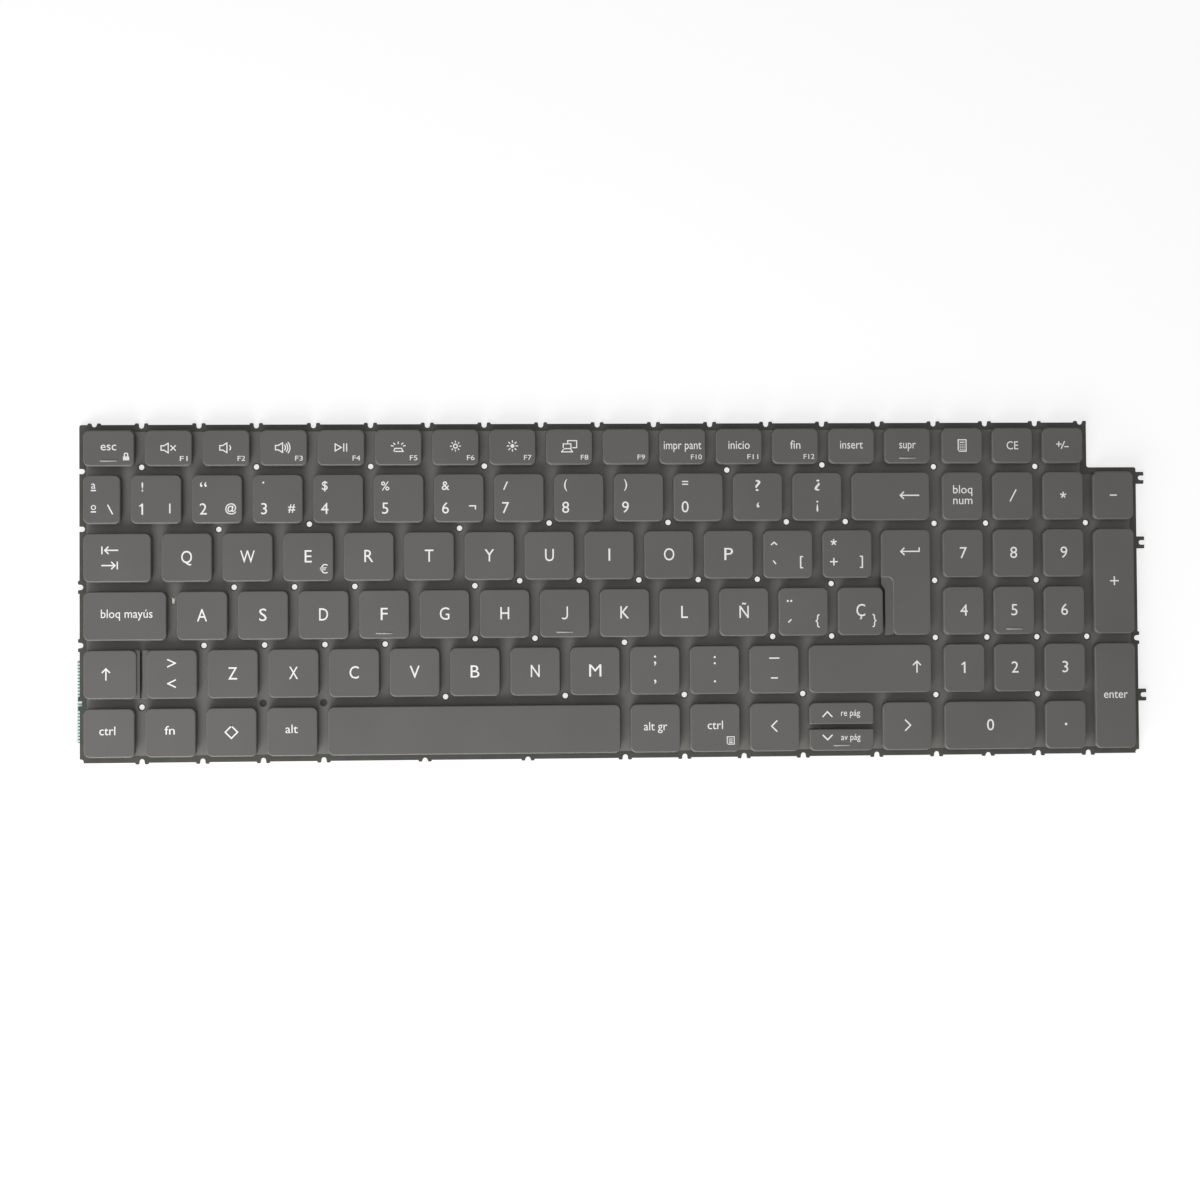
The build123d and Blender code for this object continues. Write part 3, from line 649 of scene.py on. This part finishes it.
def write(mesh, name, text, x, y, height, width=0.0):
    """Prints a text about a place. The height is that of a capital, and a width squeezes it."""
    tall = height / capital_height
    shape = bmesh.new()
    shape.from_mesh(lettering(text, max(0.0, round((stem(text, height) / tall - plain_stem) / 2, 3))))
    across, along = [v.co.x for v in shape.verts], [v.co.y for v in shape.verts]
    wide = width / (max(across) - min(across)) if width else tall
    middle = (min(along) + max(along)) / 2
    if text.isupper() or text.isdigit():
        middle = capital_height / 2
    elif len(text) > 1 and text[0].isalpha():
        middle = small_middle
    key_x, key_y = key_middle(name)
    for vert in shape.verts:
        vert.co.x = key_x + x + (vert.co.x - (min(across) + max(across)) / 2) * wide
        vert.co.y = key_y + y + (vert.co.y - middle) * tall
    ink(mesh, shape)


def draw(mesh, name, points, thick, layer):
    """Prints a run of straight strokes through points, on three layers in turn."""
    key = Vector(key_middle(name))
    for i, (start, end) in enumerate(zip(points, points[1:])):
        start, end = Vector(start), Vector(end)
        run = end - start
        turn = Matrix.Translation((*(key + start), 0.0)) @ Matrix.Rotation(math.atan2(run.y, run.x), 4, "Z")
        shape = bmesh.new()
        block(shape, (-thick / 2, -thick / 2, -1.0), (run.length + thick / 2, thick / 2, 1.0), turn)
        ink(mesh, shape, layer + i % 3)


def spot(mesh, name, x, y, radius):
    """Prints a round dot."""
    key_x, key_y = key_middle(name)
    shape = bmesh.new()
    bmesh.ops.create_cone(shape, cap_ends=True, segments=16, radius1=radius, radius2=radius, depth=0.02,
                          matrix=Matrix.Translation((key_x + x, key_y + y, 0.0)))
    ink(mesh, shape)


def ring(x, y, radius, start=0, end=360, steps=12):
    turns = [math.radians(start + (end - start) * i / steps) for i in range(steps + 1)]
    return [(x + radius * math.cos(t), y + radius * math.sin(t)) for t in turns]


def arrow(tip, tail, head=1.0):
    tip, tail = Vector(tip), Vector(tail)
    back = (tail - tip).normalized() * head
    side = Vector((-back.y, back.x))
    return [(tail, tip), (tip + back + side, tip, tip + back - side)]


def rays(inner, outer, middle=Vector((0, 0.3))):
    ways = [Vector(way) for way in ring(0, 0, 1, 0, 315, 7)]
    return [(way * inner + middle, way * outer + middle) for way in ways]


def star(x, y):
    return [((x, y), end) for end in ring(x, y, 0.8, 90, 378, 4)]


def speaker(x):
    cone, mouth = x + 0.9, x + 2.2
    return [((x, -0.7), (cone, -0.7), (mouth, -1.5), (mouth, 1.5), (cone, 0.7), (x, 0.7), (x, -0.7))]


def frame_lines(left, front, right, back):
    return (*oblong(left, front, right, back), (left, front))


letter_widths = {"a": 3.1, "c": 2.9, "e": 2.2, "f": 2.15, "g": 3.0, "i": 0.0, "l": 2.1, "m": 3.8, "o": 3.3,
                 "q": 3.35, "s": 2.3, "t": 2.7, "v": 3.1, "w": 4.5, "y": 3.0}
written = {letter: [(letter.upper(), 0, 0.1, 3.8, letter_widths.get(letter, 2.75))]
           for letter in "qwertyuiopasdfghklzxcvbnm"}
written["e"].append(("€", 4.8, -3.8, 2.7, 2.5))
for digit, upper in zip("1234567890", "!“·$%&/()="):
    written[digit] = [(digit, -4.2, -3.1, 3.45)]
    if upper not in "·/":
        high = {"=": 4.4, "“": 4.5}.get(upper, 3.8)
        written[digit].append((upper, -4.15, high, 4.2 if upper == "“" else 2.7))
    written[f"pad_{digit}"] = [(digit, 0, 0.1, 3.5)]
for name, sign in (("2", "@"), ("3", "#")):
    written[name].append((sign, 4.3, -3.1, 2.5))
for number in range(1, 13):
    x, wide = (4.3, 3.4) if number > 9 else (4.75, 2.35)
    written[f"f{number}"] = [(f"F{number}", x, -3.3, 1.5, wide)]
for name, word, x, y, wide in (
        ("esc", "esc", 0, 0.2, 4.8), ("f10", "impr pant", 0, 0, 11.8), ("f11", "inicio", 0, 0, 6.7),
        ("f12", "fin", 0, 0, 3.2), ("insert", "insert", 0, 0, 7.2), ("delete", "supr", 0, 0, 5.2),
        ("caps_lock", "bloq mayús", 0.6, 0.3, 15.8), ("left_ctrl", "ctrl", -0.5, 0.3, 4.9),
        ("fn", "fn", -0.2, 0.3, 3.1), ("alt", "alt", -0.2, 0.4, 3.8), ("alt_gr", "alt gr", 0, 0.2, 7.3),
        ("right_ctrl", "ctrl", 0, 0.4, 4.8), ("num_lock", "bloq", 0, 1.6, 6.1),
        ("num_lock", "num", 0, -1.8, 6.1), ("pad_enter", "enter", 0, 0, 7.6)):
    written.setdefault(name, []).append((word, x, y, 2.6, wide))
written.update({
    "ordinal": [("a", -2.5, 4.1, 2.35), ("o", -2.5, -2.5, 2.25)],
    "apostrophe": [("?", 0, 3.5, 3.4, 1.7), ("‘", 0, -2.6, 4.6)],
    "exclamation": [("¿", 0, 3.5, 3.4, 1.7), ("¡", 0, -3.1, 3.4)],
    "clear": [("CE", 0, 0, 2.5, 3.7)],
    "n_tilde": [("Ñ", 0, 0, 3.8, 2.9)],
    "c_cedilla": [("Ç", 0, 0.3, 3.8, 2.8), ("}", 4.3, -3.0, 3.0)],
    "grave": [("[", 4.2, -2.6, 2.9)],
    "plus": [("]", 4.4, -2.6, 2.9)],
    "acute": [("{", 4.4, -3.0, 3.0)],
    "comma": [(";", 0, 3.0, 3.8), (",", 0, -3.6, 3.8)],
    "period": [(":", 0, 3.0, 3.8), (".", 0, -3.6, 3.8)],
    "up_arrow": [("re pág", 2.8, -0.2, 1.95, 6.0)],
    "down_arrow": [("av pág", 2.8, 0.5, 1.95, 6.1)],
})

drawn = {
    "1": [((-4.9, -2.1), (-4.2, -1.6)), ((4.25, -1.6), (4.25, -4.2))],
    "6": [((3.3, -2.5), (5.1, -2.5), (5.1, -3.4))],
    "7": [((-4.7, 2.65), (-3.7, 4.85))],
    "divide": [((-0.9, -1.7), (0.9, 1.7))],
    "j": [((0.75, 1.85), (0.75, -0.9), (0.55, -1.4), (0.15, -1.7), (-0.3, -1.75), (-0.75, -1.6))],
    "sign": [((-1.9, 0.35), (-0.5, 0.35)), ((-1.2, -0.35), (-1.2, 1.05)), ((-0.4, -1.0), (0.6, 1.15)),
             ((0.7, -0.45), (1.8, -0.45))],
    "pad_1": [((-0.8, 1.1), (0, 1.7))],
    "ordinal": [((-3.1, 2.75), (-1.9, 2.75)), ((-3.1, -3.85), (-1.9, -3.85)), ((1.95, -1.85), (3.3, -4.45))],
    "minus": [((-0.9, 0), (0.9, 0))],
    "pad_plus": [((-1.2, 0), (1.2, 0)), ((0, -1.2), (0, 1.2))],
    "backspace": arrow((3.0, 0.2), (8.8, 0.2)),
    "tab": [((-4.6, 1.3), (-4.6, 3.3)), ((0.1, -3.4), (0.1, -1.4))] + arrow((-3.7, 2.3), (0.2, 2.3))
           + arrow((-0.6, -2.4), (-4.6, -2.4)),
    "left_shift": arrow((-1.2, 1.8), (-1.2, -1.6), 1.1),
    "right_shift": arrow((14.7, 2.2), (14.7, -1.2), 1.1),
    "enter": arrow((-1.6, 0.6), (4.2, 0.6)) + [((4.2, 0.6), (4.2, 1.6))],
    "grave": [((-5.2, 3.0), (-4.4, 3.7), (-3.6, 3.0)), ((-4.6, -2.2), (-4.0, -3.0))],
    "acute": [((-4.7, -3.3), (-4.0, -2.6))],
    "plus": star(-4.3, 3.6) + [((-5.3, -2.5), (-3.3, -2.5)), ((-4.3, -3.5), (-4.3, -1.5))],
    "times": star(0, 0.1),
    "less_than": [((-1.2, 4.5), (1.1, 3.4), (-1.2, 2.3)), ((1.1, -1.8), (-1.2, -2.9), (1.1, -4.0))],
    "hyphen": [((-1.4, 3.5), (1.4, 3.5)), ((-0.9, -2.7), (0.9, -2.7))],
    "left_arrow": [((0.6, 1.9), (-1.0, 0.3), (0.6, -1.3))],
    "right_arrow": [((-0.7, 1.8), (0.9, 0.2), (-0.7, -1.4))],
    "up_arrow": [((-5.9, -1.0), (-4.5, 0.5), (-3.1, -1.0))],
    "down_arrow": [((-5.9, 1.4), (-4.5, 0.0), (-3.1, 1.4))],
    "system": [((0, 1.9), (1.9, 0), (0, -1.9), (-1.9, 0), (0, 1.9))],
    "right_ctrl": [frame_lines(3.7, -5.2, 5.9, -2.9)] + [((4.3, y), (5.3, y)) for y in (-3.6, -4.2, -4.7)],
    "f1": speaker(-2.2) + [((0.8, -0.7), (2.2, 0.7)), ((0.8, 0.7), (2.2, -0.7))],
    "f2": speaker(-1.9) + [ring(0.3, 0, 1.1, -35, 35, 4)],
    "f3": speaker(-2.5) + [ring(-0.6, 0, radius, -38, 38, 5) for radius in (1.2, 1.9, 2.6)],
    "f4": [((-1.8, -1.1), (-1.8, 1.1), (0.1, 0), (-1.8, -1.1)), ((0.85, -1.1), (0.85, 1.1)),
           ((1.75, -1.1), (1.75, 1.1))],
    "f5": [((-1.5, -1.3), (1.5, -1.3), (1.0, -0.35), (-1.0, -0.35), (-1.5, -1.3))]
          + [((1.65 * math.cos(t), 0.2 + 0.95 * math.sin(t)), (2.2 * math.cos(t), 0.2 + 1.4 * math.sin(t)))
             for t in map(math.radians, (12, 50, 90, 130, 168))],
    "f6": [ring(0, 0.3, 0.6)] + rays(1.3, 1.5),
    "f7": rays(1.15, 1.6),
    "f8": [frame_lines(-1.9, -0.6, 0.5, 0.9), ((-2.4, -1.6), (1.0, -1.6), (0.5, -0.9)),
           ((-2.4, -1.6), (-1.9, -0.9)), ((-0.5, 1.3), (-0.5, 1.9), (2.3, 1.9), (2.3, -0.3), (1.1, -0.3))],
    "reckon": [frame_lines(-1.25, -1.8, 1.25, 1.8), ((-0.6, 1.0), (0.6, 1.0))],
    "esc": [((4.6, y), (6.2, y)) for y in (-3.6, -3.2, -2.8)]
           + [((4.9, -2.6), (4.9, -1.9), (5.1, -1.6), (5.7, -1.6), (5.9, -1.9), (5.9, -2.6))],
}
spots = {
    "f7": [(0, 0.3, 0.6)],
    "3": [(-4.4, 5.0, 0.3)],
    "pad_point": [(0, 0.1, 0.4)],
    "acute": [(-4.95, 3.3, 0.33), (-3.85, 3.3, 0.33)],
    "reckon": [(x, y, 0.2) for x in (-0.6, 0, 0.6) for y in (0.2, -0.5, -1.2)],
}


def pen(name):
    """The width of a drawn stroke: finest on the small menu sign, finer on the function row."""
    if name == "right_ctrl":
        return 0.24
    return 0.33 if name in function_row else 0.40


def printed_cap(name):
    """A moulded cap with its legend on top."""
    mesh = cap_mesh(name)
    for text in written.get(name, ()):
        write(mesh, name, *text)
    for i, points in enumerate(drawn.get(name, ())):
        draw(mesh, name, points, pen(name), 1 + 3 * i)
    for dot in spots.get(name, ()):
        spot(mesh, name, *dot)
    return mesh


white_ink, tree, shader, place = finish("white_legend_ink", 0.6)
mottle(tree, shader, place, 5000.0, (0.86, 0.86, 0.85), (0.94, 0.94, 0.93))
shader.inputs["Specular IOR Level"].default_value = 0.3


def dress(mesh, name, body, node):
    """Sets a cap's mesh in place of its solid, with even light over its flat top."""
    piece = settle(mesh, name, body, grey_resin, white_ink, bar_highlight_resin)
    even = piece.modifiers.new("even_top", "WEIGHTED_NORMAL")
    even.keep_sharp = True
    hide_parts(node)


for name in pressed:
    dress(printed_cap(name), f"{name}_cap", f"{name}_key", f"{name}_keycap")
for bank, label, node in ((function_row, "function_row_caps", "function_row_keycaps"),
                          (number_bank, "number_caps", "number_keycaps")):
    whole = bmesh.new()
    for name in bank:
        join(whole, printed_cap(name))
    dress(whole, label, "frame", node)


# Floor, light and camera: a pale table in an even white room, with two soft windows at the front left.
# Table and room show white to the camera, which looks down from where the photograph was taken.
floor = bmesh.new()
bmesh.ops.create_grid(floor, x_segments=1, y_segments=1, size=3.0)
table_data = bpy.data.meshes.new("table")
floor.to_mesh(table_data)
floor.free()
table = bpy.data.objects.new("table", table_data)
bpy.context.scene.collection.objects.link(table)


def seen_rays(tree):
    """One where a ray comes from the camera, a gloss or a clear piece, so that the ground shows white."""
    path = tree.nodes.new("ShaderNodeLightPath")
    total = path.outputs["Is Camera Ray"]
    for other in ("Is Glossy Ray", "Is Transmission Ray"):
        add = tree.nodes.new("ShaderNodeMath")
        add.operation = "ADD"
        add.use_clamp = True
        tree.links.new(total, add.inputs[0])
        tree.links.new(path.outputs[other], add.inputs[1])
        total = add.outputs["Value"]
    return total


pale, tree, shader, place = finish("pale_table", 0.9)
shader.inputs["Base Color"].default_value = (0.3, 0.3, 0.3, 1.0)
shader.inputs["Emission Color"].default_value = (1.0, 1.0, 1.0, 1.0)
tree.links.new(between(tree, seen_rays(tree), 0.0, 0.76), shader.inputs["Emission Strength"])
table_data.materials.append(pale)

world = bpy.data.worlds.new("studio")
world.use_nodes = True
tree = world.node_tree
room = tree.nodes["Background"]
room.inputs["Color"].default_value = (1.0, 1.0, 1.0, 1.0)
tree.links.new(between(tree, seen_rays(tree), 0.33, 1.0), room.inputs["Strength"])
bpy.context.scene.world = world

for label, stands_at, wide, tall, power in (("window", (-0.20, -0.50, 0.30), 0.4, 0.3, 3.5),
                                            ("low_window", (-0.45, -0.50, 0.16), 1.2, 0.14, 5.2)):
    lamp_data = bpy.data.lights.new(label, "AREA")
    lamp_data.shape = "RECTANGLE"
    lamp_data.size, lamp_data.size_y = wide, tall
    lamp_data.energy = power
    lamp = bpy.data.objects.new(label, lamp_data)
    lamp.location = stands_at
    lamp.rotation_euler = (-lamp.location).to_track_quat("-Z", "Y").to_euler()
    bpy.context.scene.collection.objects.link(lamp)

camera_data = bpy.data.cameras.new("camera")
camera_data.sensor_width = 36.0
camera_data.lens = 53.01
camera = bpy.data.objects.new("camera", camera_data)
camera_place = Vector((-0.027155, -0.013829, 0.554734))
camera_turn = Vector((0.0197841, -0.0394733, -0.0069745))
camera.matrix_world = (Matrix.Translation(camera_place)
                       @ Matrix.Rotation(camera_turn.length, 4, camera_turn.normalized()))
bpy.context.scene.collection.objects.link(camera)
bpy.context.scene.camera = camera
bpy.context.scene.view_settings.view_transform = "Standard"
